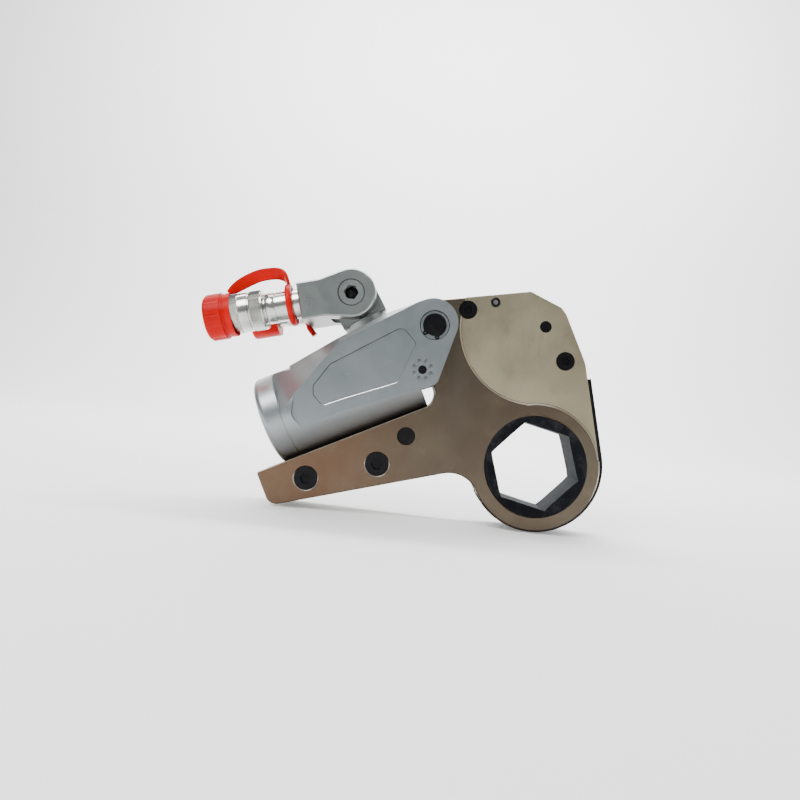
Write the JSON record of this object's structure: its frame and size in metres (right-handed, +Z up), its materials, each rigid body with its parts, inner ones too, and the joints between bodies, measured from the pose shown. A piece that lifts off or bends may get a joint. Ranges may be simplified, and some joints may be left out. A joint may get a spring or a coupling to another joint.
{
  "type": "hydraulic torque wrench",
  "caption": "A hydraulic torque wrench with a hexagonal ratchet link, an angled cylinder behind it and a tilting swivel with capped quick couplers.",
  "frame": {"origin": "Centre of the hex drive, half way through its thickness. The tool lies on its nose and tail.", "axes": "+X runs along the link toward the nose, +Y along the hex drive away from the camera side, +Z up from the reaction face toward the swivel."},
  "size_m": [0.3204, 0.0778, 0.1869],
  "materials": {
    "plate_steel": "nickel plated alloy steel, warm satin",
    "housing_alloy": "fine satin, hard anodised",
    "swivel_alloy": "satin",
    "black_steel": "black oxide",
    "bright_steel": "bright plated",
    "cap_rubber": "moulded red rubber",
    "bronze": "machined",
    "seal_rubber": "moulded",
    "spring_steel": "drawn wire"
  },
  "bodies": {
    "frame": {"plate_front": "plate_steel", "plate_rear": "plate_steel", "tail_spacer": "black_steel", "shroud": "black_steel", "bush_front": "bronze", "bush_rear": "bronze", "tail_screws": "black_steel", "link_screws": "black_steel", "link_sleeves": "black_steel", "tail_dowel": "black_steel", "stop_pin": "black_steel", "plunger": "bright_steel", "housing": "housing_alloy", "end_cap": "housing_alloy", "gland": "black_steel", "rod_seal": "seal_rubber", "reaction_pin": "black_steel", "circlips": "black_steel", "plugs": "black_steel"},
    "rod": {"rod": "bright_steel", "rod_end": "black_steel", "piston": "bright_steel", "piston_seal": "seal_rubber", "piston_nut": "black_steel"},
    "lever": {"lever": "black_steel", "drive_pin": "black_steel", "pawl_spring": "spring_steel"},
    "pawl": {"pawl": "black_steel"},
    "ratchet": {"ratchet": "black_steel"},
    "swivel_post": {"swivel_post": "swivel_alloy", "post_ring": "spring_steel"},
    "manifold": {"manifold": "swivel_alloy", "pivot_bolt": "swivel_alloy", "front_coupler": "bright_steel", "front_poppet": "bright_steel", "front_strap": "cap_rubber", "rear_coupler": "bright_steel", "rear_poppet": "bright_steel", "rear_strap": "cap_rubber"},
    "sleeve": {"front_sleeve": "bright_steel"},
    "front_cap": {"front_cap": "cap_rubber"},
    "rear_cap": {"rear_cap": "cap_rubber"}
  },
  "joints": [
    {"name": "piston_stroke", "type": "slide", "parent": "frame", "child": "rod", "axis": [0.891, 0, 0.454], "range_m": [0, 0.05]},
    {"name": "lever_swing", "type": "hinge", "parent": "frame", "child": "lever", "pos_m": [0, 0, 0], "axis": [0, 1, 0], "range_deg": [0, 27]},
    {"name": "ratchet_turn", "type": "hinge", "parent": "frame", "child": "ratchet", "pos_m": [0, 0, 0], "axis": [0, 1, 0], "range_deg": [0, 27]},
    {"name": "pawl_lift", "type": "slide", "parent": "lever", "child": "pawl", "axis": [-0.6488, 0, 0.761], "range_m": [0, 0.003], "stiffness_N_per_m": 4000, "springref_m": -0.002, "deforming": ["pawl_spring"]},
    {"name": "swivel_turn", "type": "hinge", "parent": "frame", "child": "swivel_post", "pos_m": [-0.13913, 0, 0.09553], "axis": [-0.5373, 0, 0.8434], "continuous": true},
    {"name": "swivel_tilt", "type": "hinge", "parent": "swivel_post", "child": "manifold", "pos_m": [-0.1531, 0, 0.11745], "axis": [0, 1, 0], "range_deg": [-17, 162]},
    {"name": "sleeve_spin", "type": "hinge", "parent": "manifold", "child": "sleeve", "pos_m": [-0.23038, -0.0185, 0.09675], "axis": [-0.9659, 0, -0.2588], "continuous": true},
    {"name": "front_cap_off", "type": "slide", "parent": "manifold", "child": "front_cap", "axis": [-0.9659, 0, -0.2588], "range_m": [0, 0.025], "deforming": ["front_strap"]},
    {"name": "rear_cap_off", "type": "slide", "parent": "manifold", "child": "rear_cap", "axis": [-0.9659, 0, -0.2588], "range_m": [0, 0.02], "deforming": ["rear_strap"]}
  ],
  "couplings": [
    {"joint": "lever_swing", "follows": "piston_stroke", "rad_per_m": 9.3883},
    {"joint": "ratchet_turn", "follows": "piston_stroke", "rad_per_m": 9.3883}
  ]
}
